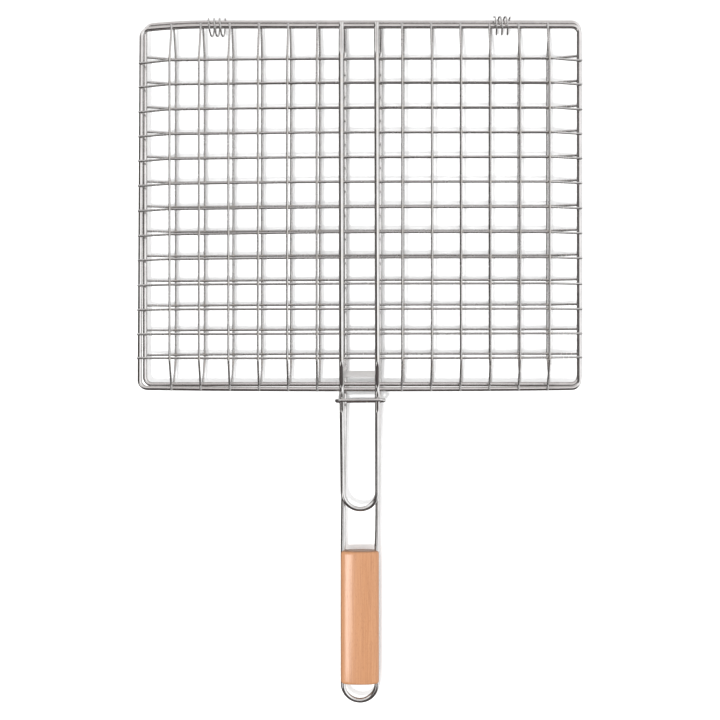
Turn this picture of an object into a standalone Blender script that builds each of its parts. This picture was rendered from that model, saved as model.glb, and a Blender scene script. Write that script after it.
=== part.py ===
"""Grill basket: two dished wire grids hinged by wire coils, with a long wooden-gripped handle.

All dimensions are in millimetres and are converted once to metres.
X is the basket's width, +Y points from the handle to the hinge, +Z is up.
The origin is the middle of the footprint on the table.
Left is -X and right is +X.
"""

import math
from typing import NamedTuple

import bmesh
import bpy
from mathutils import Matrix, Vector

MM = 0.001

# ---------------------------------------------------------------- stock sizes
WIRE_D = 2.0          # grid wires
FRAME_D = 4.0         # perimeter frame rods
ROD_D = 4.5           # handle rods
RING_D = 3.0          # sliding latch ring
COIL_D = 1.5          # hinge coils
GAP = 0.3             # working gap left between touching or welded pieces

WIRE_SIDES = 8
ROD_SIDES = 12
RING_SIDES = 10
COIL_SIDES = 8

# ------------------------------------------------------- shared by both halves
DISH = 6.0            # depth of each dished grid beyond its wire ends
CORNER_R = 7.0        # frame corners, on the centre line
CORNER_STEPS = 4
COLUMNS = 6           # long wires on each side of the handle rods
ROWS = 13
WIRE_KINK = 2.0       # wires bend this far outside the last wire they cross
ROD_KINK = 5.0        # the same for the handle rods
WIRE_FLAT = 3.0       # level wire end, measured inward from the frame's centre line
ROD_FLAT = 3.5        # the same for the handle rods
WIRE_OVERHANG = 2.0   # wire end beyond the frame's centre line

# Heights, built up from the table: the base handle rods lie on it.
BASE_ROD_Z = ROD_D / 2
BASE_CROSS_Z = ROD_D + GAP + WIRE_D / 2
BASE_LONG_Z = BASE_CROSS_Z - WIRE_D - GAP
BASE_END_Z = BASE_CROSS_Z + DISH
BASE_FRAME_Z = BASE_END_Z + WIRE_D / 2 + GAP + FRAME_D / 2
BASE_ROD_END_Z = BASE_FRAME_Z - FRAME_D / 2 - GAP - ROD_D / 2
FRAME_SPACING = 4.9   # from the base frame up to the lid frame
LID_FRAME_Z = BASE_FRAME_Z + FRAME_SPACING
LID_END_Z = LID_FRAME_Z + FRAME_D / 2 + GAP + WIRE_D / 2
LID_CROSS_Z = LID_END_Z + DISH
LID_LONG_Z = LID_CROSS_Z + WIRE_D + GAP
LID_ROD_Z = LID_CROSS_Z + WIRE_D / 2 + GAP + ROD_D / 2
LID_ROD_END_Z = LID_FRAME_Z + FRAME_D / 2 + GAP + ROD_D / 2


# ------------------------------------------------------------ the two halves
class Half(NamedTuple):
    """One half of the basket. Frame and wire places are centre lines."""

    name: str
    centre_x: float
    half_width: float
    handle_y: float        # frame bar at the handle end
    hinge_y: float         # frame bar at the hinge end
    column_first: float    # first long wire, from centre_x
    column_pitch: float
    row_first: float       # y of the cross wire nearest the handle
    row_pitch: float
    row_shifts: tuple      # how far each row sits from its even place, handle end first
    frame_z: float
    end_z: float           # wire ends, on the frame
    cross_z: float         # dished middle of the cross wires
    long_z: float          # dished middle of the long wires
    hinge_overhang: float  # long wire ends beyond the frame at the hinge
    rod_z: float           # handle rods along the dished grid
    rod_end_z: float       # handle rods where they meet the frame
    rod_handle_flat: float    # level rod beyond the frame at the handle end
    rod_hinge_overhang: float
    # (left x, right x) of the handle legs: at the rod ends by the hinge,
    # at the frame bar by the handle, and at the far end of the taper
    legs: tuple

    @property
    def column_last(self):
        return self.column_first + self.column_pitch * (COLUMNS - 1)

    @property
    def row_last(self):
        return self.row_first + self.row_pitch * (ROWS - 1)


# The halves sit a little to either side of the centre: the side play of the hinge coils.
BASE = Half(
    name="base",
    centre_x=1.6,
    half_width=197.25,
    handle_y=-21.9,
    hinge_y=306.2,
    column_first=38.35,
    column_pitch=26.5,
    row_first=5.7,
    row_pitch=22.58,
    row_shifts=(0.0,) * ROWS,
    frame_z=BASE_FRAME_Z,
    end_z=BASE_END_Z,
    cross_z=BASE_CROSS_Z,
    long_z=BASE_LONG_Z,
    hinge_overhang=1.5,  # short, so that the lid swings clear
    rod_z=BASE_ROD_Z,
    rod_end_z=BASE_ROD_END_Z,
    rod_handle_flat=3.5,
    rod_hinge_overhang=1.4,
    legs=((-13.9, 19.1), (-13.6, 17.6), (-15.2, 16.0)),
)
LID = Half(
    name="lid",
    centre_x=-0.3,
    half_width=198.5,
    handle_y=-26.4,
    hinge_y=301.3,
    column_first=38.1,
    column_pitch=26.26,
    row_first=2.5,
    row_pitch=22.33,
    row_shifts=(-0.7, -1.2, -1.2, -0.9, 0.0, 0.1, 0.3, 0.5, 0.5, 0.3, 0.0, 0.1, -0.7),
    frame_z=LID_FRAME_Z,
    end_z=LID_END_Z,
    cross_z=LID_CROSS_Z,
    long_z=LID_LONG_Z,
    hinge_overhang=WIRE_OVERHANG,
    rod_z=LID_ROD_Z,
    rod_end_z=LID_ROD_END_Z,
    rod_handle_flat=2.5,
    rod_hinge_overhang=2.5,
    legs=((-16.8, 14.8), (-16.3, 15.7), (-15.3, 15.9)),
)

# ------------------------------------------------------------------- handles
LEVEL_Y = -46.0       # from here both handles run level, one on the other
BASE_HANDLE_Z = 15.15
LID_HANDLE_Z = BASE_HANDLE_Z + ROD_D + GAP
LID_U_Y = -118.95     # centre of the lid handle's U end
BASE_TAPER_Y = -154.0 # end of the base handle's taper
LOOP_Y = -293.5       # centre of the hanging loop
U_STEPS = 14          # straight steps in each half-circle end

# ---------------------------------------------------------------- wooden grip
GRIP_X = 0.12
GRIP_Y0, GRIP_Y1 = -293.2, -172.6
GRIP_HALF_W, GRIP_HALF_H = 17.6, 7.5
GRIP_POWER = 2.35     # 2 is an ellipse; more is squarer
GRIP_SIDES = 32
GRIP_LEG = 15.38      # half distance between the rods in the grip
GRIP_LEAD = 4.0       # the rods run parallel from this far ahead of the grip
# How each end rounds over: (distance from the end, shrink of the section)
GRIP_ENDS = ((0.0, 2.2), (0.5, 0.95), (1.2, 0.25), (2.2, 0.0))
GROOVE_R = ROD_D / 2 + GAP
GROOVE_STEPS = 8
CUTTER_SIDE = 6.0     # groove cutters pass the grip's sides by this much
CUTTER_END = 5.0      # and its ends by this much

# --------------------------------------------------------------------- hinge
HINGE_Y = 305.95
HINGE_Z = (LID_ROD_Z + ROD_D / 2) / 2  # half the height of the closed basket's grids
COIL_R = 7.75
COIL_TURNS = 3
COIL_PITCH = 5.0
COIL_STEPS = 16       # straight steps in one turn
COILS = {             # centre x, y, z
    "hinge_coil_left": (-129.6, 301.6, 16.0),
    "hinge_coil_right": (128.6, 302.7, 17.7),
}

# ---------------------------------------------------------------- latch ring
RING_CENTRE = (0.55, -36.8, 17.75)
RING_IN_W, RING_IN_H, RING_IN_R = 40.0, 15.6, 3.5  # opening and its corner radius
RING_CORNER_STEPS = 5
RING_TILT, RING_YAW = math.radians(5.0), math.radians(0.6)

# ----------------------------------------------------------------- tie plate
TIE_X0, TIE_X1 = -16.0, 18.4
TIE_W, TIE_T = 6.4, 1.0
TIE_SETBACK = 1.6     # back down the slope from the rods' upper bend
TIE_CORNER = 1.0
TIE_CORNER_SEGMENTS = 2


# ------------------------------------------------------------------ finishes
class Finish(NamedTuple):
    colour: tuple
    metallic: float
    roughness: float


CHROME = Finish(colour=(0.80, 0.79, 0.78), metallic=1.0, roughness=0.16)
STEEL = Finish(colour=(0.70, 0.70, 0.69), metallic=1.0, roughness=0.30)
BEECH = Finish(colour=(0.72, 0.40, 0.20), metallic=0.0, roughness=0.42)
SHARP_ANGLE = math.radians(50)  # edges sharper than this stay crisp when shaded smooth


def finish_material(name, finish):
    material = bpy.data.materials.new(name)
    material.use_nodes = True
    shader = material.node_tree.nodes["Principled BSDF"]
    shader.inputs["Base Color"].default_value = (*finish.colour, 1.0)
    shader.inputs["Metallic"].default_value = finish.metallic
    shader.inputs["Roughness"].default_value = finish.roughness
    material.diffuse_color = (*finish.colour, 1.0)
    return material


# ------------------------------------------------------------- scene helpers
def clear_scene():
    for obj in list(bpy.data.objects):
        bpy.data.objects.remove(obj, do_unlink=True)
    for mesh in list(bpy.data.meshes):
        bpy.data.meshes.remove(mesh)


def add_pivot(name, at=(0, 0, 0)):
    pivot = bpy.data.objects.new(name, None)
    pivot.location = Vector(at) * MM
    pivot.empty_display_size = 0.02
    bpy.context.scene.collection.objects.link(pivot)
    return pivot


def add_piece(name, bm, parent, finish, smooth=True):
    """A named object from a bmesh in world millimetres, hung on its body's pivot."""
    for vert in bm.verts:
        vert.co = vert.co * MM - parent.location
    bmesh.ops.recalc_face_normals(bm, faces=bm.faces)
    mesh = bpy.data.meshes.new(name)
    bm.to_mesh(mesh)
    bm.free()
    if smooth:
        mesh.shade_smooth()
        mesh.set_sharp_from_angle(angle=SHARP_ANGLE)
    mesh.materials.append(finish_material(name + "_finish", finish))
    obj = bpy.data.objects.new(name, mesh)
    bpy.context.scene.collection.objects.link(obj)
    obj.parent = parent
    return obj


# ---------------------------------------------------------- geometry helpers
def loft(sections, closed=False):
    """A bmesh skinned over matching sections, capped unless it closes on itself."""
    bm = bmesh.new()
    rings = [[bm.verts.new(point) for point in section] for section in sections]
    following = rings[1:] + (rings[:1] if closed else [])
    for near, far in zip(rings, following):
        for k in range(len(near)):
            j = (k + 1) % len(near)
            bm.faces.new((near[k], near[j], far[j], far[k]))
    if not closed:
        bm.faces.new(reversed(rings[0]))
        bm.faces.new(rings[-1])
    return bm


def tube(points, diameter, sides, closed=False, up=Vector((0, 0, 1))):
    """A rod swept along points with mitred bends. The diameter is across its flats."""
    points = [Vector(point) for point in points]
    count = len(points)
    spans = count if closed else count - 1
    along = [(points[(i + 1) % count] - points[i]).normalized() for i in range(spans)]
    radius = diameter / 2 / math.cos(math.pi / sides)
    across = along[0].cross(up).normalized()
    above = across.cross(along[0]).normalized()

    def mitre_normal(i):
        if closed or 0 < i < count - 1:
            return (along[i - 1] + along[i]).normalized()
        return along[0] if i == 0 else along[-1]

    def slide(offsets, direction, normal):
        """Move offsets along a span until they lie in the mitre plane."""
        return [
            offset - direction * (offset.dot(normal) / direction.dot(normal))
            for offset in offsets
        ]

    offsets = []
    for k in range(sides):
        angle = math.tau * (k + 0.5) / sides
        offsets.append(across * radius * math.cos(angle) + above * radius * math.sin(angle))
    sections = []
    for i, point in enumerate(points):
        offsets = slide(offsets, along[max(i - 1, 0)], mitre_normal(i))
        sections.append([point + offset for offset in offsets])
    return loft(sections, closed)


def rounded_rectangle(x0, x1, y0, y1, radius, steps):
    """Corner arcs of a rounded rectangle, anticlockwise, as (x, y)."""
    corners = (  # arc centre x, y, first angle in degrees
        (x1 - radius, y0 + radius, -90),
        (x1 - radius, y1 - radius, 0),
        (x0 + radius, y1 - radius, 90),
        (x0 + radius, y0 + radius, 180),
    )
    for centre_x, centre_y, first in corners:
        for step in range(steps + 1):
            angle = math.radians(first + 90 * step / steps)
            yield centre_x + radius * math.cos(angle), centre_y + radius * math.sin(angle)


def squared_oval(half_w, half_h):
    """Section of the grip, as (x, z) from its middle."""
    for k in range(GRIP_SIDES):
        angle = math.tau * k / GRIP_SIDES
        cosine, sine = math.cos(angle), math.sin(angle)
        yield (
            half_w * math.copysign(abs(cosine) ** (2 / GRIP_POWER), cosine),
            half_h * math.copysign(abs(sine) ** (2 / GRIP_POWER), sine),
        )


def u_end(centre_x, centre_y, radius, z):
    """Half circle round the -Y end of a handle, from the left leg to the right one."""
    points = []
    for step in range(U_STEPS + 1):
        angle = math.pi + math.pi * step / U_STEPS
        x = centre_x + radius * math.cos(angle)
        points.append((x, centre_y + radius * math.sin(angle), z))
    return points


def mix(start, end, share):
    return start + (end - start) * share


# --------------------------------------------------------------------- grids
def frame_rod(half, parent):
    outline = rounded_rectangle(
        half.centre_x - half.half_width, half.centre_x + half.half_width,
        half.handle_y, half.hinge_y, CORNER_R, CORNER_STEPS,
    )
    loop = [(x, y, half.frame_z) for x, y in outline]
    bm = tube(loop, FRAME_D, ROD_SIDES, closed=True)
    add_piece(f"{half.name}_frame", bm, parent, CHROME)


def dished_profile(frame_span, crossed_span, grid_z, end_z, end_overhang):
    """(distance along the wire, height) pairs from frame bar to frame bar."""
    start, end = frame_span
    first, last = crossed_span
    return (
        (start - WIRE_OVERHANG, end_z),
        (start + WIRE_FLAT, end_z),
        (first - WIRE_KINK, grid_z),
        (last + WIRE_KINK, grid_z),
        (end - WIRE_FLAT, end_z),
        (end + end_overhang, end_z),
    )


def long_wires(half, parent):
    steps = [half.column_first + half.column_pitch * i for i in range(COLUMNS)]
    offsets = [-step for step in reversed(steps)] + steps
    profile = dished_profile(
        (half.handle_y, half.hinge_y), (half.row_first, half.row_last),
        half.long_z, half.end_z, half.hinge_overhang,
    )
    for number, offset in enumerate(offsets, 1):
        path = [(half.centre_x + offset, y, z) for y, z in profile]
        bm = tube(path, WIRE_D, WIRE_SIDES)
        add_piece(f"{half.name}_long_wire_{number:02d}", bm, parent, CHROME)


def cross_wires(half, parent):
    profile = dished_profile(
        (-half.half_width, half.half_width), (-half.column_last, half.column_last),
        half.cross_z, half.end_z, WIRE_OVERHANG,
    )
    for row, shift in enumerate(half.row_shifts):
        y = half.row_first + half.row_pitch * row + shift
        path = [(half.centre_x + x, y, z) for x, z in profile]
        bm = tube(path, WIRE_D, WIRE_SIDES)
        add_piece(f"{half.name}_cross_wire_{row + 1:02d}", bm, parent, CHROME)


def grid(half, parent):
    frame_rod(half, parent)
    long_wires(half, parent)
    cross_wires(half, parent)


# ------------------------------------------------------------------- handles
def handle_rod(half, handle_z, taper_end_y, far_points, parent):
    """Two legs along the grid and out past the frame, joined by far_points."""
    hinge_end = half.hinge_y + half.rod_hinge_overhang
    profile = (  # y, z
        (hinge_end, half.rod_end_z),
        (half.hinge_y - ROD_FLAT, half.rod_end_z),
        (half.row_last + ROD_KINK, half.rod_z),
        (half.row_first - ROD_KINK, half.rod_z),
        (half.handle_y + ROD_FLAT, half.rod_end_z),
        (half.handle_y - half.rod_handle_flat, half.rod_end_z),
        (LEVEL_Y, handle_z),
    )

    def leg_x(side, y):
        """x of a leg at y, straight between its three stations."""
        at_hinge, at_frame, at_far = (station[side] for station in half.legs)
        if y >= half.handle_y:
            return mix(at_hinge, at_frame, (hinge_end - y) / (hinge_end - half.handle_y))
        return mix(at_frame, at_far, (half.handle_y - y) / (half.handle_y - taper_end_y))

    left, right = ([(leg_x(side, y), y, z) for y, z in profile] for side in (0, 1))
    bm = tube(left + far_points + right[::-1], ROD_D, ROD_SIDES)
    add_piece(f"{half.name}_handle_rod", bm, parent, CHROME)


def base_handle(parent):
    left, right = BASE.legs[-1]
    lead_y = GRIP_Y1 + GRIP_LEAD
    far_points = [
        (left, BASE_TAPER_Y, BASE_HANDLE_Z),
        (GRIP_X - GRIP_LEG, lead_y, BASE_HANDLE_Z),
        *u_end(GRIP_X, LOOP_Y, GRIP_LEG, BASE_HANDLE_Z),
        (GRIP_X + GRIP_LEG, lead_y, BASE_HANDLE_Z),
        (right, BASE_TAPER_Y, BASE_HANDLE_Z),
    ]
    handle_rod(BASE, BASE_HANDLE_Z, BASE_TAPER_Y, far_points, parent)


def lid_handle(parent):
    left, right = LID.legs[-1]
    far_points = u_end((left + right) / 2, LID_U_Y, (right - left) / 2, LID_HANDLE_Z)
    handle_rod(LID, LID_HANDLE_Z, LID_U_Y, far_points, parent)


# ---------------------------------------------------------------- wooden grip
def groove_cutter(label, side, parent):
    """Hidden bar, round on its inner side, that cuts one rod's groove. side is -1 or 1."""
    outer = GRIP_HALF_W + CUTTER_SIDE
    outline = [(outer, -GROOVE_R), (outer, GROOVE_R)]
    for step in range(GROOVE_STEPS + 1):
        angle = math.pi / 2 + math.pi * step / GROOVE_STEPS
        outline.append((GRIP_LEG + GROOVE_R * math.cos(angle), GROOVE_R * math.sin(angle)))
    bm = loft([
        [(GRIP_X + side * x, y, BASE_HANDLE_Z + z) for x, z in outline]
        for y in (GRIP_Y0 - CUTTER_END, GRIP_Y1 + CUTTER_END)
    ])
    cutter = add_piece(f"groove_cutter_{label}", bm, parent, STEEL, smooth=False)
    cutter.hide_render = True
    cutter.display_type = "WIRE"
    return cutter


def wood_grip(parent):
    """An oval bar with rounded ends. The two rods lie in a groove down each side."""
    stations = [(GRIP_Y0 + inset, shrink) for inset, shrink in GRIP_ENDS]
    stations += [(GRIP_Y1 - inset, shrink) for inset, shrink in reversed(GRIP_ENDS)]
    bm = loft([
        [
            (GRIP_X + x, y, BASE_HANDLE_Z + z)
            for x, z in squared_oval(GRIP_HALF_W - shrink, GRIP_HALF_H - shrink)
        ]
        for y, shrink in stations
    ])
    grip = add_piece("wood_grip", bm, parent, BEECH)
    for side, label in ((-1, "left"), (1, "right")):
        cutter = groove_cutter(label, side, parent)
        groove = grip.modifiers.new(f"groove_{label}", "BOOLEAN")
        groove.operation = "DIFFERENCE"
        groove.solver = "EXACT"
        groove.object = cutter


# ---------------------------------------------------------- tie, ring, coils
def tie_plate(parent):
    """A flat strip across the sloping part of the two base rods, just inside the frame."""
    low_y = BASE.row_first - ROD_KINK       # foot of the rods' slope
    high_y = BASE.handle_y + ROD_FLAT       # top of the slope, towards the handle
    slope = math.atan2(BASE_ROD_END_Z - BASE_ROD_Z, low_y - high_y)
    uphill = Vector((0, -math.cos(slope), math.sin(slope)))
    outward = Vector((0, math.sin(slope), math.cos(slope)))
    slope_top = Vector((0, high_y, BASE_ROD_END_Z)) + outward * (ROD_D / 2 + GAP)
    lower = slope_top - uphill * (TIE_W + TIE_SETBACK)
    upper = slope_top - uphill * TIE_SETBACK
    section = (lower, upper, upper + outward * TIE_T, lower + outward * TIE_T)
    bm = loft([[(x, corner.y, corner.z) for corner in section] for x in (TIE_X0, TIE_X1)])
    # Face normals are set before the corners are rounded.
    bmesh.ops.recalc_face_normals(bm, faces=bm.faces)
    corner_edges = [
        edge for edge in bm.edges
        if abs((edge.verts[0].co - edge.verts[1].co).normalized().dot(outward)) > 0.99
    ]
    bmesh.ops.bevel(
        bm, geom=corner_edges, offset=TIE_CORNER, segments=TIE_CORNER_SEGMENTS,
        affect="EDGES", profile=0.5,
    )
    add_piece("base_tie_plate", bm, parent, STEEL, smooth=False)


def latch_ring(parent):
    """An upright rounded-rectangle ring round both handles, tilted and turned a little."""
    half_w = (RING_IN_W + RING_D) / 2
    half_h = (RING_IN_H + RING_D) / 2
    corner = RING_IN_R + RING_D / 2
    turn = Matrix.Rotation(RING_YAW, 3, "Z") @ Matrix.Rotation(-RING_TILT, 3, "X")
    outline = rounded_rectangle(-half_w, half_w, -half_h, half_h, corner, RING_CORNER_STEPS)
    loop = [Vector(RING_CENTRE) + turn @ Vector((x, 0, z)) for x, z in outline]
    bm = tube(loop, RING_D, RING_SIDES, closed=True, up=turn @ Vector((0, 1, 0)))
    add_piece("latch_ring", bm, parent, CHROME)


def hinge_coil(name, centre, parent):
    """A helix along X."""
    centre_x, centre_y, centre_z = centre
    length = COIL_TURNS * COIL_PITCH
    steps = COIL_TURNS * COIL_STEPS
    path = []
    for step in range(steps + 1):
        share = step / steps
        angle = math.tau * COIL_TURNS * share
        path.append((
            centre_x - length / 2 + length * share,
            centre_y + COIL_R * math.cos(angle),
            centre_z + COIL_R * math.sin(angle),
        ))
    add_piece(name, tube(path, COIL_D, COIL_SIDES, up=Vector((1, 0, 0))), parent, STEEL)


# ------------------------------------------------------------------ assembly
def main():
    clear_scene()
    base = add_pivot("base_body")
    lid = add_pivot("lid_hinge_axis", (LID.centre_x, HINGE_Y, HINGE_Z))
    ring = add_pivot("ring_slide_axis", RING_CENTRE)

    grid(BASE, base)
    base_handle(base)
    wood_grip(base)
    tie_plate(base)

    grid(LID, lid)
    lid_handle(lid)

    # Each coil turns about the base frame's hinge bar.
    for name, centre in COILS.items():
        pivot = add_pivot(name + "_axis", (centre[0], BASE.hinge_y, BASE_FRAME_Z))
        hinge_coil(name, centre, pivot)
    latch_ring(ring)


main()
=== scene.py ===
"""A hinged wire grill basket: two welded grids with U-shaped handle rods, a wooden grip and a latch ring.

It lies flat: X runs across, the hinge is towards +Y, the handle towards -Y, and the lid is on top (+Z).
Lengths of the product are millimetres, turned into metres as meshes are made. The stage is in metres.
"""

import math

import bmesh
import bpy
from mathutils import Matrix, Vector


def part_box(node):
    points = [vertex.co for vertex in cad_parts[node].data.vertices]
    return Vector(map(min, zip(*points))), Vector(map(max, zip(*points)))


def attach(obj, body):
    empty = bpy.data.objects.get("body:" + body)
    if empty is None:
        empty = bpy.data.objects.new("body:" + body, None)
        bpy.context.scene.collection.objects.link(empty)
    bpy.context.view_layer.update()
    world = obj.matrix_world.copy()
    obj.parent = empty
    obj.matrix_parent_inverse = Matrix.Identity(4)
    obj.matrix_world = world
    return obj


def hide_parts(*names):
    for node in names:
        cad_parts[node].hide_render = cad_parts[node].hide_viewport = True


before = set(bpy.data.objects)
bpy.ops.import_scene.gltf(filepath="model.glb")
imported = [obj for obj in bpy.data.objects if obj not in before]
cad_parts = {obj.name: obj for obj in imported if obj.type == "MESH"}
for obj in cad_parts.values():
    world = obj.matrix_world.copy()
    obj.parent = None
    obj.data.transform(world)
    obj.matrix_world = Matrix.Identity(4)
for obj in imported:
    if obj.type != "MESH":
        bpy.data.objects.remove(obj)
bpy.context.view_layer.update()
MM = 0.001

WIRE_R, FRAME_R, ROD_R, RING_R = 1.0, 2.0, 2.25, 1.5
WELD = 0.15             # how far touching wires sink into each other at a spot weld
ROWS = 13               # cross wires in each half
COLUMNS = 6             # long wires on each side of the middle
FRAME_CORNER_R = 7.0
WIRE_BOW = 0.25         # largest sideways bow of a grid wire

ROD_KINK = 5.0          # from the outer rows to where a handle rod leaves the grid's plane
ROD_FRAME_RUN = 3.5     # flat run of a handle rod on each side of a frame bar
LID_FRAME_RUN = 2.5     # the same on the handle side of the lid
HANDLE_Y = -46.0        # where the rods reach the handle's height
LEG_SPREAD = 15.38      # half the distance between the rod legs in the grip
GRIP_X = 0.12


def box(node):
    low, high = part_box(node)
    return low / MM, high / MM


def middle(node):
    low, high = box(node)
    return (low + high) / 2


# ------------------------------------------------------------------ materials
class Graph:
    """A thin helper that makes shader nodes and links them in one line."""

    def __init__(self, tree):
        self.tree = tree

    def node(self, kind, **settings):
        made = self.tree.nodes.new(kind)
        for key, value in settings.items():
            setattr(made, key, value)
        return made

    def feed(self, target, value):
        """Sets a socket to a number or an RGB colour, or links it to another socket."""
        if isinstance(value, (int, float)):
            target.default_value = value
        elif isinstance(value, tuple):
            target.default_value = (*value, 1.0)
        else:
            self.tree.links.new(value, target)

    def shade(self, settings):
        shader = self.tree.nodes["Principled BSDF"]
        for name, value in settings.items():
            self.feed(shader.inputs[name], value)

    def math(self, operation, a, b=0.0, c=None):
        made = self.node("ShaderNodeMath", operation=operation)
        self.feed(made.inputs[0], a)
        self.feed(made.inputs[1], b)
        if c is not None:
            self.feed(made.inputs[2], c)
        return made.outputs[0]

    def plus(self, a, b):
        return self.math("ADD", a, b)

    def times(self, a, b):
        return self.math("MULTIPLY", a, b)

    def combine(self, *values):
        made = self.node("ShaderNodeCombineXYZ")
        for target, value in zip(made.inputs, values):
            self.feed(target, value)
        return made.outputs[0]

    def split(self, vector):
        made = self.node("ShaderNodeSeparateXYZ")
        self.feed(made.inputs[0], vector)
        return made.outputs

    def stretched(self, axes, by, sway=None):
        """The axes, each times its factor. sway is (pattern, amount) added along X."""
        x = self.times(axes[0], by[0])
        if sway:
            x = self.plus(x, self.times(*sway))
        return self.combine(x, self.times(axes[1], by[1]), self.times(axes[2], by[2]))

    def noise(self, vector, scale=1.0, detail=3.0, rough=0.55):
        made = self.node("ShaderNodeTexNoise")
        self.feed(made.inputs["Vector"], vector)
        made.inputs["Scale"].default_value = scale
        made.inputs["Detail"].default_value = detail
        made.inputs["Roughness"].default_value = rough
        return made.outputs[0]

    def ramp(self, factor, *stops):
        """A colour ramp. Each stop is (position, colour)."""
        made = self.node("ShaderNodeValToRGB")
        self.feed(made.inputs[0], factor)
        elements = made.color_ramp.elements
        while len(elements) < len(stops):
            elements.new(0.5)
        for element, (position, colour) in zip(elements, stops):
            element.position = position
            element.color = (*colour, 1.0)
        return made.outputs[0]

    def span(self, value, over, to=(0.0, 1.0), smooth=False):
        """Maps the range over onto the range to, clamped."""
        made = self.node("ShaderNodeMapRange", clamp=True)
        if smooth:
            made.interpolation_type = "SMOOTHSTEP"
        self.feed(made.inputs["Value"], value)
        made.inputs["From Min"].default_value = over[0]
        made.inputs["From Max"].default_value = over[1]
        made.inputs["To Min"].default_value = to[0]
        made.inputs["To Max"].default_value = to[1]
        return made.outputs["Result"]

    def rise(self, value, over):
        return self.span(value, over, smooth=True)

    def fall(self, value, over):
        return self.span(value, over, to=(1.0, 0.0), smooth=True)

    def band(self, value, rise, fall):
        return self.times(self.rise(value, rise), self.fall(value, fall))

    def mix(self, factor, a, b):
        made = self.node("ShaderNodeMix", data_type="RGBA")
        for index, value in ((0, factor), (6, a), (7, b)):
            self.feed(made.inputs[index], value)
        return made.outputs[2]

    def bump(self, height, strength, distance, normal=None):
        made = self.node("ShaderNodeBump")
        self.feed(made.inputs["Height"], height)
        made.inputs["Strength"].default_value = strength
        made.inputs["Distance"].default_value = distance
        if normal is not None:
            self.feed(made.inputs["Normal"], normal)
        return made.outputs["Normal"]

    def attribute(self, name):
        return self.node("ShaderNodeAttribute", attribute_name=name).outputs["Fac"]

    def object_coords(self):
        return self.node("ShaderNodeTexCoord").outputs["Object"]

    def is_glossy(self):
        return self.node("ShaderNodeLightPath").outputs["Is Glossy Ray"]


def new_material(name):
    material = bpy.data.materials.new(name)
    material.use_nodes = True
    return material, Graph(material.node_tree)


def chrome(name, base, rough, seed, heat=0.0):
    """Bright plated wire: drawing lines along it, faint smudges, a straw tint beside each weld."""
    material, g = new_material(name)
    smudge_shade = 0.86
    straw = (0.86, 0.76, 0.62)  # the tint, as factors of the base colour
    along, around = g.attribute("along"), g.attribute("around")
    coords = g.object_coords()
    lines_at = g.combine(g.times(along, 14.0), g.times(around, 22.0), seed)
    lines = g.noise(lines_at, detail=4.0, rough=0.6)
    smudge = g.noise(coords, scale=55.0, rough=0.6)
    speck = g.noise(coords, scale=900.0, detail=2.0, rough=0.7)
    # distance from the nearest weld, in crossings
    shifted = g.math("FRACT", g.plus(g.attribute("cell"), 0.5))
    near = g.math("ABSOLUTE", g.math("SUBTRACT", shifted, 0.5))
    warm = g.times(g.fall(near, over=(0.02, 0.14)), heat)
    dark = tuple(c * smudge_shade for c in base)
    colour = g.mix(g.span(smudge, over=(0.35, 0.7)), base, dark)
    colour = g.mix(warm, colour, tuple(c * tint for c, tint in zip(base, straw)))
    roughness = g.plus(
        g.span(smudge, over=(0.3, 0.75), to=(rough * 0.7, rough * 1.5)),
        g.times(warm, 0.12),
    )
    roughness = g.plus(roughness, g.span(speck, over=(0.62, 0.75), to=(0.0, 0.10)))
    normal = g.bump(lines, strength=0.10, distance=0.0001)
    ripple = g.noise(coords, scale=160.0, detail=2.0, rough=0.5)
    normal = g.bump(ripple, strength=0.10, distance=0.0003, normal=normal)
    g.shade({"Base Color": colour, "Metallic": 1.0, "Roughness": roughness, "Normal": normal})
    return material


def weld_metal(name):
    """The squeezed, patchy skin of a spot weld."""
    material, g = new_material(name)
    patch = g.noise(g.object_coords(), scale=400.0, rough=0.6)
    light, dark = (0.66, 0.63, 0.59), (0.50, 0.46, 0.42)
    g.shade({
        "Base Color": g.mix(g.span(patch, over=(0.35, 0.65)), light, dark),
        "Metallic": 1.0,
        "Roughness": g.span(patch, over=(0.3, 0.7), to=(0.22, 0.42)),
        "Normal": g.bump(patch, strength=0.4, distance=0.0002),
    })
    return material


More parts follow.
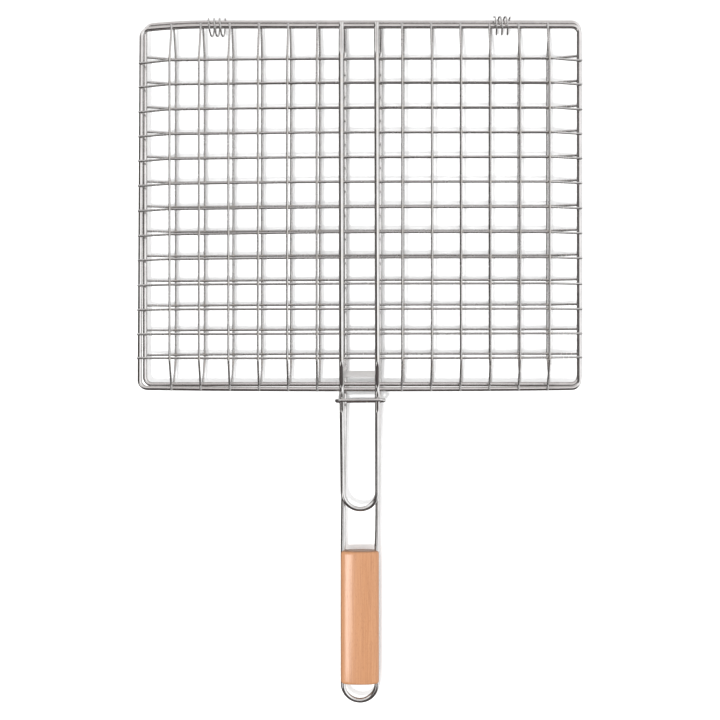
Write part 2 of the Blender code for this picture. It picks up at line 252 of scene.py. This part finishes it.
def beech(name):
    """Varnished beech: fine grain along Y, short dark flecks, broad bands, rings on the ends."""
    material, g = new_material(name)
    axes = g.split(g.object_coords())
    x, y, z = axes
    bend = g.noise(g.stretched(axes, by=(14.0, 9.0, 14.0)), detail=2.0)
    grain_at = g.stretched(axes, by=(900.0, 26.0, 900.0), sway=(bend, 6.0))
    grain = g.noise(grain_at, detail=5.0, rough=0.62)
    bands = g.noise(g.stretched(axes, by=(130.0, 5.0, 130.0), sway=(bend, 5.0)), detail=2.0)
    fleck = g.noise(g.stretched(axes, by=(2600.0, 330.0, 2600.0)), detail=1.0)
    colour = g.ramp(
        grain,
        (0.30, (0.315, 0.144, 0.065)),
        (0.52, (0.377, 0.180, 0.084)),
        (0.74, (0.420, 0.213, 0.103)),
    )
    band_colour, fleck_colour = (0.339, 0.151, 0.065), (0.249, 0.103, 0.042)
    colour = g.mix(g.span(bands, over=(0.35, 0.68), to=(0.0, 0.45)), colour, band_colour)
    flecks = g.span(fleck, over=(0.60, 0.70), to=(0.0, 0.55), smooth=True)
    colour = g.mix(flecks, colour, fleck_colour)

    # end grain: darker, with growth rings centred well below the bar
    ring_x, ring_z = -0.011, -0.055
    rings_per_metre = 420.0
    radius = g.math("SQRT", g.plus(
        g.math("POWER", g.plus(x, -ring_x), 2.0),
        g.math("POWER", g.plus(z, -ring_z), 2.0),
    ))
    rings = g.math("FRACT", g.math("MULTIPLY_ADD", radius, rings_per_metre, g.times(bend, 1.5)))
    end_colour = g.ramp(
        rings,
        (0.0, (0.205, 0.101, 0.052)),
        (0.7, (0.249, 0.127, 0.067)),
        (1.0, (0.158, 0.074, 0.037)),
    )
    facing = g.split(g.node("ShaderNodeNewGeometry").outputs["Normal"])
    end = g.rise(g.math("ABSOLUTE", facing[1]), over=(0.55, 0.85))
    colour = g.mix(end, colour, end_colour)

    roughness = g.span(grain, over=(0.3, 0.7), to=(0.46, 0.34))
    normal = g.bump(grain, strength=0.22, distance=0.0002)
    pores = g.math("SUBTRACT", 1.0, flecks)
    normal = g.bump(pores, strength=0.25, distance=0.00015, normal=normal)
    g.shade({
        "Base Color": colour,
        "Roughness": roughness,
        "Specular IOR Level": 0.45,
        "Coat Weight": 0.35,
        "Coat Roughness": 0.22,
        "Normal": normal,
    })
    return material


def sheet_metal(name):
    """Brushed strip with fine lines along X."""
    material, g = new_material(name)
    axes = g.split(g.object_coords())
    brushed = g.noise(g.stretched(axes, by=(60.0, 4200.0, 4200.0)), detail=4.0, rough=0.65)
    light, dark = (0.62, 0.61, 0.60), (0.52, 0.51, 0.505)
    g.shade({
        "Base Color": g.mix(g.span(brushed, over=(0.3, 0.7)), light, dark),
        "Metallic": 0.45,
        "Roughness": g.span(brushed, over=(0.3, 0.7), to=(0.26, 0.44)),
        "Normal": g.bump(brushed, strength=0.35, distance=0.0001),
    })
    return material


ROD_CHROME = chrome("rod_chrome", base=(0.86, 0.85, 0.84), rough=0.10, seed=1.3, heat=0.20)
FRAME_CHROME = chrome("frame_chrome", base=(0.84, 0.82, 0.81), rough=0.12, seed=5.1)
WIRE_CHROME = chrome("wire_chrome", base=(0.68, 0.67, 0.663), rough=0.24, seed=9.7, heat=0.30)
RING_CHROME = chrome("ring_chrome", base=(0.84, 0.83, 0.82), rough=0.13, seed=3.9)
COIL_STEEL = chrome("coil_steel", base=(0.70, 0.69, 0.68), rough=0.24, seed=7.7)
WELD_METAL = weld_metal("weld_metal")
PLATE_STEEL = sheet_metal("plate_steel")
BEECH = beech("varnished_beech")


# ---------------------------------------------------------------------- paths
def between(a, b, t):
    return a + (b - a) * t


def part_of(value, low, high):
    return min(1.0, max(0.0, (value - low) / (high - low)))


def filleted(points, radius, steps):
    """The path with each bend rounded off by a curve of about that radius."""
    points = [Vector(p) for p in points]
    out = [points[0]]
    for before, at, after in zip(points, points[1:], points[2:]):
        back, ahead = before - at, after - at
        back_length, ahead_length = back.length, ahead.length
        back, ahead = back / back_length, ahead / ahead_length
        turn = math.pi - back.angle(ahead)
        if turn < 0.02:
            out.append(at)
            continue
        cut = min(radius * math.tan(turn / 2), 0.45 * back_length, 0.45 * ahead_length)
        start, end = at + back * cut, at + ahead * cut
        for step in range(steps + 1):
            t = step / steps
            out.append(start * (1 - t) ** 2 + at * 2 * t * (1 - t) + end * t ** 2)
    out.append(points[-1])
    return out


def divided(path, length):
    """The path in parts of about that length, without its last point."""
    out = []
    for at, after in zip(path, path[1:]):
        parts = max(1, round((after - at).length / length))
        out += [at.lerp(after, k / parts) for k in range(parts)]
    return out


def rounded_rectangle(x0, x1, y0, y1, radius, steps):
    corners = (
        (x1 - radius, y0 + radius, -90), (x1 - radius, y1 - radius, 0),
        (x0 + radius, y1 - radius, 90), (x0 + radius, y0 + radius, 180),
    )
    for corner_x, corner_y, first in corners:
        for step in range(steps + 1):
            a = math.radians(first + 90 * step / steps)
            yield corner_x + radius * math.cos(a), corner_y + radius * math.sin(a)


def soft_bow(start, end, seed):
    """A small sideways bow between two ends, as straightened wire keeps."""
    phase = math.sin(seed * 12.9898) * 43758.5453
    phase -= math.floor(phase)
    amount = (phase - 0.5) * 2 * WIRE_BOW

    def offset(at):
        t = (at - start) / (end - start)
        return amount * math.sin(math.pi * min(1.0, max(0.0, t)))
    return offset


SAG = {"base": 1.1, "lid": 2.2}    # shift of the rows towards -Y, 180 mm left of the middle
LEAN = {"base": 0.9, "lid": 1.9}   # inward shift of the left side
HINGE_CORNER_SAG = 3.3
LID_SIDE_BOW = 1.3


def warped(point, body):
    """Where a point of the even grid sits on the real, hand-bent one.

    Rows sag towards -Y at their left (-X) ends, the left side leans in, its hinge corner drops
    towards -Y, and the lid's handle side bows out between its corners.
    """
    if body not in SAG:
        return point
    x, y = point.x, point.y
    lean = LEAN[body] * part_of(-x, 182.0, 200.0)
    corner = HINGE_CORNER_SAG * part_of(-x, 146.0, 200.0) ** 1.5
    sag = SAG[body] * (max(0.0, -x) / 180.0) ** 1.2
    bow = 0.0
    if body == "lid":
        sag *= 0.3 + 0.7 * part_of(y, 40.0, 110.0)
        lean *= part_of(y, -26.0, 301.0)
        bow = LID_SIDE_BOW * min(1.0, abs(x) / 200.0) ** 2.5 * part_of(-y, -40.0, 26.0)
    inside = part_of(y, -25.0, 0.0)
    hinge = part_of(y, 278.0, 300.0)
    return point + Vector((lean, bow - between(sag * inside, corner, hinge), 0.0))


# --------------------------------------------------------------------- meshes
def sweep(path, radius, sides, closed):
    """Rings of points of a round rod, turning with the path without twisting."""
    count = len(path)
    tangents = []
    for i in range(count):
        if closed:
            tangent = path[(i + 1) % count] - path[i - 1]
        else:
            tangent = path[min(i + 1, count - 1)] - path[max(i - 1, 0)]
        tangents.append(tangent.normalized())
    up = Vector((0, 0, 1))
    if abs(tangents[0].dot(up)) > 0.95:
        up = Vector((0, 1, 0))
    side = tangents[0].cross(up).normalized()
    rings = []
    for i, (centre, tangent) in enumerate(zip(path, tangents)):
        if i:
            side = tangents[i - 1].rotation_difference(tangent) @ side
            side = (side - tangent * side.dot(tangent)).normalized()
        other = side.cross(tangent).normalized()
        rings.append([
            centre + (side * math.cos(a) + other * math.sin(a)) * radius
            for a in (math.tau * k / sides for k in range(sides))
        ])
    return rings


def skin(bm, rings, closed=False):
    """Joins rings of vertices with quads, and caps the two ends unless the rings close."""
    following = rings[1:] + rings[:1] if closed else rings[1:]
    for near, far in zip(rings, following):
        for k in range(len(near)):
            j = (k + 1) % len(near)
            bm.faces.new((near[k], near[j], far[j], far[k]))
    if not closed:
        bm.faces.new(reversed(rings[0]))
        bm.faces.new(rings[-1])


def piece(name, bm, body, material, replaces=None, sharp=55):
    bmesh.ops.recalc_face_normals(bm, faces=bm.faces)
    if bm.calc_volume(signed=True) < 0:  # a grooved bar can be taken for its own inside
        bmesh.ops.reverse_faces(bm, faces=bm.faces)
    mesh = bpy.data.meshes.new(name)
    bm.to_mesh(mesh)
    bm.free()
    mesh.shade_smooth()
    mesh.set_sharp_from_angle(angle=math.radians(sharp))
    mesh.materials.append(material)
    obj = bpy.data.objects.new(name, mesh)
    bpy.context.scene.collection.objects.link(obj)
    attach(obj, body)
    if replaces:
        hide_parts(replaces)
    return obj


def rod(node, path, radius, sides, body, material, closed=False, cell=None, end_round=0.35):
    """A smooth rod in place of a CAD node.

    cell(point) counts crossings, which places the heat tint beside welds.
    """
    path = [warped(p, body) for p in path]
    if not closed:
        # cut ends: a small rounded edge and a flat face, as a shear leaves them
        first, last = (path[1] - path[0]).normalized(), (path[-2] - path[-1]).normalized()
        edge = end_round * radius
        path = (
            [path[0], path[0] + first * edge * 0.35, path[0] + first * edge]
            + path[1:-1]
            + [path[-1] + last * edge, path[-1] + last * edge * 0.35, path[-1]]
        )
    rings = sweep(path, radius, sides, closed)
    if not closed:
        tip, next_to_tip = 1 - end_round, 1 - end_round * 0.35
        for index, shrink in ((0, tip), (1, next_to_tip), (-1, tip), (-2, next_to_tip)):
            centre = path[index]
            rings[index] = [centre + (p - centre) * shrink for p in rings[index]]
    bm = bmesh.new()
    along = bm.verts.layers.float.new("along")
    around = bm.verts.layers.float.new("around")
    cells = bm.verts.layers.float.new("cell")
    run, made = 0.0, []
    for i, ring in enumerate(rings):
        if i:
            run += (path[i] - path[i - 1]).length
        row = []
        for k, point in enumerate(ring):
            vert = bm.verts.new(point * MM)
            vert[along] = run * MM * 10
            vert[around] = abs(2 * k / sides - 1)
            vert[cells] = cell(path[i]) if cell else 0.5
            row.append(vert)
        made.append(row)
    skin(bm, made, closed)
    return piece(f"{node}_skin", bm, body, material, replaces=node)


def bead(bm, centre, radii, sides=10, levels=5):
    """A squeezed lens of metal at one weld."""
    rx, ry, rz = radii
    rows = []
    for i in range(1, levels):
        a = math.pi * i / levels - math.pi / 2
        rows.append([
            bm.verts.new(Vector((
                centre[0] + rx * math.cos(a) * math.cos(math.tau * k / sides),
                centre[1] + ry * math.cos(a) * math.sin(math.tau * k / sides),
                centre[2] + rz * math.sin(a))) * MM)
            for k in range(sides)
        ])
    south = bm.verts.new(Vector((centre[0], centre[1], centre[2] - rz)) * MM)
    north = bm.verts.new(Vector((centre[0], centre[1], centre[2] + rz)) * MM)
    for k in range(sides):
        j = (k + 1) % sides
        bm.faces.new((south, rows[0][j], rows[0][k]))
        bm.faces.new((north, rows[-1][k], rows[-1][j]))
        for near, far in zip(rows, rows[1:]):
            bm.faces.new((near[k], near[j], far[j], far[k]))


# ----------------------------------------------------------------- two halves
class Half:
    """Places of one half. outward is -1 (down) for the base and +1 (up) for the lid.

    The heights stack the wires so that they meet at each weld, where the CAD keeps a gap.
    legs holds (left x, right x) of the handle rod at the hinge end, at the frame's handle side
    and at legs_end.
    """

    def __init__(self, name, outward, long_seed, cross_seed, legs, legs_end):
        self.name, self.outward = name, outward
        self.long_seed, self.cross_seed = long_seed, cross_seed
        low, high = box(f"{name}_frame")
        self.x0, self.x1 = low.x + FRAME_R, high.x - FRAME_R
        self.y0, self.y1 = low.y + FRAME_R, high.y - FRAME_R
        self.rows = [middle(f"{name}_cross_wire_{i + 1:02d}").y for i in range(ROWS)]
        self.columns = [middle(f"{name}_long_wire_{i + 1:02d}").x for i in range(2 * COLUMNS)]
        last_left, first_right = self.columns[COLUMNS - 1:COLUMNS + 1]
        self.centre_x = (last_left + first_right) / 2
        self.inner = (first_right - last_left) / 2
        self.column_pitch = (self.columns[-1] - first_right) / (COLUMNS - 1)

        rod_low, rod_high = box(f"{name}_handle_rod")
        outer_z = rod_low.z if outward < 0 else rod_high.z
        self.frame_z = middle(f"{name}_frame").z
        self.rod_z = outer_z - outward * ROD_R
        self.cross_z = self.rod_z - outward * (ROD_R + WIRE_R - WELD)
        self.long_z = self.cross_z + outward * (2 * WIRE_R - WELD)
        self.wire_end_z = self.frame_z + outward * (FRAME_R + WIRE_R - WELD)
        self.rod_end_z = self.frame_z + outward * (FRAME_R + ROD_R - WELD)
        self.rod_low_y = rod_low.y
        self.legs = legs
        self.leg_ys = (rod_high.y, self.y0, legs_end)

    def leg_x(self, side, y):
        """X of the handle rod's left (0) or right (1) leg at y."""
        top, mid, far = self.leg_ys
        top_x, mid_x, far_x = (pair[side] for pair in self.legs)
        if y >= mid:
            return between(top_x, mid_x, (top - y) / (top - mid))
        return between(mid_x, far_x, min(1.0, (mid - y) / (mid - far)))

    def row_cell(self, point):
        """Counts rows along Y: whole at each row, 0.5 away from the grid."""
        y, rows = point.y, self.rows
        if not rows[0] - 6 < y < rows[-1] + 6:
            return 0.5
        for i, (low, high) in enumerate(zip(rows, rows[1:])):
            if y < high:
                break
        return i + (y - low) / (high - low)

    def column_cell(self, point):
        """Counts columns outwards from the middle gap, 0.5 away from them."""
        inner, pitch = self.inner, self.column_pitch
        distance = abs(point.x - self.centre_x)
        if inner - 8 < distance < inner + (COLUMNS - 1) * pitch + 6:
            return (distance - inner) / pitch
        return 0.5


BASE = Half("base", -1, long_seed=40, cross_seed=90,
            legs=((-13.9, 19.1), (-13.6, 17.6), (-15.2, 16.0)), legs_end=-154.0)
LID = Half("lid", 1, long_seed=3, cross_seed=70,
           legs=((-16.8, 14.8), (-16.3, 15.7), (-15.3, 15.9)), legs_end=-118.95)


def outer_frame(half):
    corners = [
        Vector((x, y, half.frame_z))
        for x, y in rounded_rectangle(half.x0, half.x1, half.y0, half.y1, FRAME_CORNER_R, 10)
    ]
    loop = divided(corners + corners[:1], 12.0)
    rod(f"{half.name}_frame", loop, FRAME_R, 20, half.name, FRAME_CHROME, closed=True)


def wire_profile(start, end, frame_start, frame_end, first, last, inside, end_z, z):
    """(run, height) of a wire: level on the frame at both ends, stepped to z over the grid."""
    return (
        [(start, end_z), (frame_start + 3, end_z), (first - 2.0, z)]
        + [(at, z) for at in inside]
        + [(last + 2.0, z), (frame_end - 3, end_z), (end, end_z)]
    )


def grid_wire(node, half, points, cell):
    path = filleted(points, radius=5.0, steps=4)
    rod(node, path, WIRE_R, 14, half.name, WIRE_CHROME, cell=cell)


def long_wires(half):
    rows = half.rows
    inside = [y + d for y in rows[1:-1] for d in (-1.5, 0.0, 1.5, 5.0)]
    for i, x in enumerate(half.columns):
        node = f"{half.name}_long_wire_{i + 1:02d}"
        low, high = box(node)
        bow = soft_bow(half.y0, half.y1, i + half.long_seed)
        profile = wire_profile(low.y, high.y, half.y0, half.y1, rows[0], rows[-1],
                               inside, half.wire_end_z, half.long_z)
        grid_wire(node, half, [(x + bow(y), y, z) for y, z in profile], half.row_cell)


def cross_wires(half):
    columns = half.columns
    reach = (columns[-1] - columns[0]) / 2
    inside = [x + d for x in columns[1:-1] for d in (-5.0, -1.5, 0.0, 1.5, 5.0)]
    inside = [columns[0] + 5.0] + inside + [columns[-1] - 5.0]
    for i, y in enumerate(half.rows):
        node = f"{half.name}_cross_wire_{i + 1:02d}"
        low, high = box(node)
        bow = soft_bow(half.x0, half.x1, i + half.cross_seed)
        profile = wire_profile(low.x, high.x, half.x0, half.x1,
                               half.centre_x - reach, half.centre_x + reach,
                               inside, half.wire_end_z, half.cross_z)
        grid_wire(node, half, [(x, y + bow(x), z) for x, z in profile], half.column_cell)


for half in (BASE, LID):
    outer_frame(half)
    long_wires(half)
    cross_wires(half)

# ----------------------------------------------------------------- handle rods
GRIP_LOW, GRIP_HIGH = box("wood_grip")
BASE_HANDLE_Z = middle("wood_grip").z
LID_HANDLE_Z = BASE_HANDLE_Z + 2 * ROD_R + 0.05  # the lid's rod rests just above the base's


def handle_rod(half, frame_run, handle_z, bend_x, bend_y, bend_r, grip_y=None):
    """Two legs over the grid, joined by a half circle at the handle end.

    With grip_y, the legs come to the bend's width there and run on straight.
    """
    profile = [  # (y, height) from the hinge end
        (half.leg_ys[0], half.rod_end_z),
        (half.y1 - ROD_FRAME_RUN, half.rod_end_z),
        (half.rows[-1] + ROD_KINK, half.rod_z),
        (half.rows[0] - ROD_KINK, half.rod_z),
        (half.y0 + ROD_FRAME_RUN, half.rod_end_z),
        (half.y0 - frame_run, half.rod_end_z),
        (HANDLE_Y, handle_z),
    ]
    if grip_y is not None:
        profile.append((half.leg_ys[2], handle_z))
    bend = [
        Vector((bend_x + bend_r * math.cos(a), bend_y + bend_r * math.sin(a), handle_z))
        for a in (math.pi + math.pi * k / 28 for k in range(29))
    ]
    legs = []
    for side, sign, bend_end in ((0, -1, bend[0]), (1, 1, bend[-1])):
        leg = [Vector((half.leg_x(side, y), y, z)) for y, z in profile]
        if grip_y is not None:
            leg.append(Vector((bend_x + sign * bend_r, grip_y, handle_z)))
        legs.append(filleted(leg + [bend_end], radius=14.0, steps=6))
    path = legs[0] + bend[1:-1] + legs[1][::-1]
    path = divided(path, 5.5) + path[-1:]
    rod(f"{half.name}_handle_rod", path, ROD_R, 22, half.name, ROD_CHROME,
        cell=half.row_cell, end_round=0.3)


handle_rod(BASE, ROD_FRAME_RUN, BASE_HANDLE_Z, bend_x=GRIP_X,
           bend_y=BASE.rod_low_y + ROD_R * 1.035 + LEG_SPREAD, bend_r=LEG_SPREAD,
           grip_y=GRIP_HIGH.y + 4)
lid_left, lid_right = LID.legs[2]
handle_rod(LID, LID_FRAME_RUN, LID_HANDLE_Z, bend_x=(lid_left + lid_right) / 2,
           bend_y=LID.leg_ys[2], bend_r=(lid_right - lid_left) / 2)

# ------------------------------------------------------------- spot weld beads
# half sizes of the beads along x, y, z
WIRE_BEAD = (1.12, 1.12, 0.62)       # long wire on cross wire
LEG_BEAD = (1.7, 1.25, 0.6)          # cross wire at a handle rod leg
FRAME_SIDE_BEAD = (1.5, 1.2, 0.6)    # cross wire on the frame
FRAME_END_BEAD = (1.2, 1.5, 0.6)     # long wire on the frame
FRAME_LEG_BEAD = (1.9, 1.7, 0.7)     # handle rod leg on the frame


def spot_welds(half):
    wire_z = (half.cross_z + half.long_z) / 2
    leg_z = half.cross_z + half.outward * (WIRE_R - WELD / 2)
    frame_z = half.frame_z + half.outward * (FRAME_R - WELD / 2)
    bm = bmesh.new()

    def line(xs, y, z, radii):
        for x in xs:
            bead(bm, warped(Vector((x, y, z)), half.name), radii)

    for y in half.rows:
        line(half.columns, y, wire_z, WIRE_BEAD)
        line([half.leg_x(side, y) for side in (0, 1)], y, leg_z, LEG_BEAD)
        line((half.x0, half.x1), y, frame_z, FRAME_SIDE_BEAD)
    for y in (half.y0, half.y1):
        line(half.columns, y, frame_z, FRAME_END_BEAD)
        line([half.leg_x(side, y) for side in (0, 1)], y, frame_z, FRAME_LEG_BEAD)
    piece(f"{half.name}_spot_welds", bm, half.name, WELD_METAL)


spot_welds(BASE)
spot_welds(LID)


# ----------------------------------------------------------------- latch ring
def latch_ring():
    """An upright rounded rectangle of wire, slightly tilted, with a butt weld on its underside."""
    low, high = box("latch_ring")
    centre = (low + high) / 2
    inner_height = 15.6
    half_w, half_h = (high.x - low.x) / 2 - RING_R, inner_height / 2 + RING_R
    tilt = Matrix.Rotation(math.radians(0.6), 3, "Z") @ Matrix.Rotation(math.radians(-5.0), 3, "X")
    path = [
        centre + tilt @ Vector((x, 0, z))
        for x, z in rounded_rectangle(-half_w, half_w, -half_h, half_h, 5.0, 9)
    ]
    rod("latch_ring", path, RING_R, 20, "ring", RING_CHROME, closed=True)
    weld_x = 6.0
    bm = bmesh.new()
    bead(bm, centre + tilt @ Vector((weld_x, 0, -half_h)), (0.9, 1.68, 1.68), sides=14, levels=8)
    piece("latch_ring_butt_weld", bm, "ring", WELD_METAL)


latch_ring()

# ---------------------------------------------------------------- hinge coils
COIL_TURNS, COIL_R, COIL_PITCH, COIL_WIRE_R = 3, 7.75, 5.0, 0.75
COIL_STEPS = 40  # per turn


def hinge_coil(label, centre_y, centre_z):
    """A helix along X."""
    node = f"hinge_coil_{label}"
    length = COIL_TURNS * COIL_PITCH
    start_x = middle(node).x - length / 2
    steps = COIL_TURNS * COIL_STEPS
    path = []
    for step in range(steps + 1):
        t = step / steps
        a = math.tau * COIL_TURNS * t
        y, z = centre_y + COIL_R * math.cos(a), centre_z + COIL_R * math.sin(a)
        path.append(Vector((start_x + length * t, y, z)))
    rod(node, path, COIL_WIRE_R, 14, f"coil_{label}", COIL_STEEL)


hinge_coil("left", 301.6, 16.0)
hinge_coil("right", 302.7, 17.7)


# ------------------------------------------------------------------ wood grip
def wood_grip():
    """A bar along Y with a superelliptic outline and a groove for a rod leg down each side."""
    half_w, half_h, power = 17.6, (GRIP_HIGH.z - GRIP_LOW.z) / 2, 2.35
    groove_r = ROD_R + 0.1
    y0, y1 = GRIP_LOW.y, GRIP_HIGH.y
    lip = math.asin((groove_r / half_h) ** (power / 2))  # where the outline meets the groove
    arc_steps, groove_steps, length_parts = 40, 12, 8

    def outline(inset):
        top = []  # right lip to left lip
        for k in range(arc_steps + 1):
            a = between(lip, math.pi - lip, k / arc_steps)
            c, s = math.cos(a), math.sin(a)
            top.append((
                (half_w - inset) * math.copysign(abs(c) ** (2 / power), c),
                (half_h - inset) * abs(s) ** (2 / power),
            ))
        groove = []
        for k in range(groove_steps + 1):
            a = math.pi / 2 + math.pi * k / groove_steps
            groove.append((groove_r * math.cos(a), groove_r * math.sin(a)))
        left = [(-LEG_SPREAD - x, z) for x, z in groove]
        bottom = [(x, -z) for x, z in reversed(top)]
        right = [(LEG_SPREAD + x, -z) for x, z in groove]
        return top + left + bottom + right

    # rounding of the ends: (distance from the end, inset of the outline)
    ends = [(0.0, 2.3), (0.12, 1.75), (0.45, 1.15), (0.95, 0.62), (1.6, 0.25), (2.4, 0.06), (3.4, 0.0)]
    stations = [(y0 + d, inset) for d, inset in ends]
    stations += [(y0 + (y1 - y0) * k / length_parts, 0.0) for k in range(1, length_parts)]
    stations += [(y1 - d, inset) for d, inset in reversed(ends)]
    bm = bmesh.new()
    skin(bm, [
        [bm.verts.new(Vector((GRIP_X + x, y, BASE_HANDLE_Z + z)) * MM) for x, z in outline(inset)]
        for y, inset in stations
    ])
    bmesh.ops.triangulate(bm, faces=[f for f in bm.faces if len(f.verts) > 4])
    return piece("wood_grip_body", bm, "base", BEECH, "wood_grip", sharp=38)


GRIP = wood_grip()


# ------------------------------------------------------------------ tie plate
def tie_plate():
    """The strip across the sloping base rods, with rolled edges and rounded corners."""
    low, high = box("base_tie_plate")
    slope_run = (BASE.rows[0] - ROD_KINK) - (BASE.y0 + ROD_FRAME_RUN)
    slope = math.atan2(BASE.rod_end_z - BASE.rod_z, slope_run)
    along = Vector((0, -math.cos(slope), math.sin(slope)))  # up the slope, towards the handle
    out = Vector((0, math.sin(slope), math.cos(slope)))     # square to the plate, upwards
    centre = (low + high) / 2 - out * 0.25
    half_w, half_l, half_t = 3.2, (high.x - low.x) / 2, 0.5
    # rolled edge: (depth below a face, inset of the outline)
    edge = [(0.0, 0.22), (0.08, 0.06), (0.22, 0.0)]
    layers = [(-half_t + depth, inset) for depth, inset in edge]
    layers += [(half_t - depth, inset) for depth, inset in reversed(edge)]
    bm = bmesh.new()
    outline = list(rounded_rectangle(-half_l, half_l, -half_w, half_w, 1.0, 5))
    rings = []
    for height, inset in layers:
        ring = []
        for x, w in outline:
            x -= math.copysign(min(inset, abs(x)), x)
            w -= math.copysign(min(inset, abs(w)), w)
            point = centre + Vector((x, 0, 0)) + along * w + out * height
            ring.append(bm.verts.new(point * MM))
        rings.append(ring)
    skin(bm, rings)
    plate = piece("base_tie_plate_skin", bm, "base", PLATE_STEEL, "base_tie_plate",
                  sharp=40)
    plate.visible_shadow = False


tie_plate()

# ---------------------------------------------------------------------- stage
# Metres from here on. Glossy rays see a studio of their own and a floor with a painted reflection,
# brighter towards +X and +Y and darker towards -X and -Y.
FLOOR_HALF = 6.0
FLOOR_Z = -0.0002
FLOOR_PLAIN = (0.86, 0.86, 0.86)
# painted reflection: the floor's two colours for glossy rays only, bright and dark, which put the dark
# and bright edges on the chrome
FLOOR_REFLECTION_BRIGHT = (0.48, 0.48, 0.48)
FLOOR_REFLECTION_DARK = (0.052, 0.046, 0.045)

SKY_PLAIN = (1.36, 1.36, 1.36)       # what all other rays see
SKY_TOP = (1.25, 1.26, 1.27)
SKY_SIDE = (0.95, 0.95, 0.955)
SKY_FAR = (0.68, 0.645, 0.64)        # dull pinkish wall beyond the hinge side
SKY_DARK = (0.075, 0.066, 0.065)
STRIP = (0.13, 0.115, 0.115)         # strip beyond the handle end
SOFT_BOX = (1.05, 1.04, 1.03)        # tall light between -X and -Y


def floor():
    material, g = new_material("pale_floor")
    geometry = g.node("ShaderNodeNewGeometry")
    glossy = g.is_glossy()
    # Incoming points back along the ray: a positive sum is a ray towards -X and -Y
    incoming = g.split(geometry.outputs["Incoming"])
    away = g.times(g.plus(incoming[0], incoming[1]), 0.7071)
    # painted reflection: glossy rays towards -X and -Y see the floor dark, other glossy rays see it mid
    # grey, and all other rays see it plain
    painted_dark_reflection = g.rise(away, over=(-0.12, 0.12))
    g.shade({
        "Base Color": g.mix(glossy, FLOOR_PLAIN, g.mix(painted_dark_reflection, FLOOR_REFLECTION_BRIGHT, FLOOR_REFLECTION_DARK)),
        "Roughness": 0.85,
        "Specular IOR Level": 0.1,
    })
    mesh = bpy.data.meshes.new("floor")
    corners = [(sx * FLOOR_HALF, sy * FLOOR_HALF, 0) for sx, sy in ((-1, -1), (1, -1), (1, 1), (-1, 1))]
    mesh.from_pydata(corners, [], [(0, 1, 2, 3)])
    mesh.materials.append(material)
    obj = bpy.data.objects.new("floor", mesh)
    bpy.context.scene.collection.objects.link(obj)
    obj.location.z = FLOOR_Z


def studio():
    world = bpy.data.worlds.new("studio")
    bpy.context.scene.world = world
    world.use_nodes = True
    g = Graph(world.node_tree)
    # Incoming is the reverse of the ray: these are positive for rays towards -X, -Y and -Z
    to_x, to_y, to_z = g.split(g.node("ShaderNodeNewGeometry").outputs["Incoming"])
    toward_dark = g.plus(g.times(to_x, 0.6), g.times(to_y, 1.0))
    elevation = g.times(to_z, -1.0)

    overhead = g.rise(elevation, over=(0.45, 0.93))
    light_side = g.mix(overhead, SKY_SIDE, SKY_TOP)
    far = g.times(
        g.fall(to_y, over=(-0.45, -0.04)),
        g.fall(g.math("ABSOLUTE", to_x), over=(0.25, 0.55)),
    )
    light_side = g.mix(far, light_side, SKY_FAR)
    dark_side = g.rise(toward_dark, over=(-0.10, 0.13))
    seen = g.mix(dark_side, light_side, SKY_DARK)

    strip_x = -0.08
    strip = g.band(elevation, rise=(0.22, 0.36), fall=(0.62, 0.76))
    strip = g.times(strip, g.rise(to_y, over=(0.30, 0.45)))
    from_strip = g.math("ABSOLUTE", g.math("SUBTRACT", to_x, strip_x))
    strip = g.times(strip, g.fall(from_strip, over=(0.16, 0.34)))
    seen = g.mix(strip, seen, STRIP)

    # the soft box shows only where a rod bends away from the two axes
    to_left = g.math("MAXIMUM", to_x, 0.001)  # kept above zero for the division
    to_handle = g.math("MAXIMUM", to_y, 0.0)
    turn = g.math("DIVIDE", to_handle, g.plus(to_left, to_handle))
    soft_box = g.band(turn, rise=(0.17, 0.26), fall=(0.38, 0.47))
    soft_box = g.times(soft_box, g.rise(g.plus(to_left, to_handle), over=(0.22, 0.40)))
    soft_box = g.times(soft_box, g.rise(elevation, over=(0.38, 0.52)))
    seen = g.mix(soft_box, seen, SOFT_BOX)

    background = world.node_tree.nodes["Background"]
    g.feed(background.inputs["Color"], g.mix(g.is_glossy(), SKY_PLAIN, seen))
    background.inputs["Strength"].default_value = 1.0


def area_light(name, location, target, **settings):
    light = bpy.data.lights.new(name, "AREA")
    for key, value in settings.items():
        setattr(light, key, value)
    obj = bpy.data.objects.new(name, light)
    bpy.context.scene.collection.objects.link(obj)
    obj.location = location
    aim = Vector(target) - obj.location
    obj.rotation_euler = aim.to_track_quat("-Z", "Y").to_euler()
    return obj


def lights():
    key = area_light("key", location=(-0.30, -0.416, 1.82), target=(0, 0, 0),
                     shape="DISK", size=0.15, energy=24.0)
    key.visible_glossy = False
    # a wide soft box high on the left that lights only the varnished wood
    side = area_light("side_box", location=(-1.12, -0.55, 1.72), target=(0, -0.1, 0),
                      shape="RECTANGLE", size=0.72, size_y=1.1, energy=30.0)
    varnished = bpy.data.collections.new("varnished")
    varnished.objects.link(GRIP)
    side.light_linking.receiver_collection = varnished
    side.visible_diffuse = False


def camera():
    """Looks straight down from above the origin."""
    data = bpy.data.cameras.new("camera")
    data.lens = 49.835
    data.sensor_width = 36.0
    data.clip_start, data.clip_end = 0.01, 20.0
    obj = bpy.data.objects.new("camera", data)
    bpy.context.scene.collection.objects.link(obj)
    obj.location = (0.0001, 0.0, 0.920)
    bpy.context.scene.camera = obj


floor()
studio()
lights()
camera()
bpy.context.scene.view_settings.view_transform = "Standard"
bpy.context.scene.view_settings.look = "None"
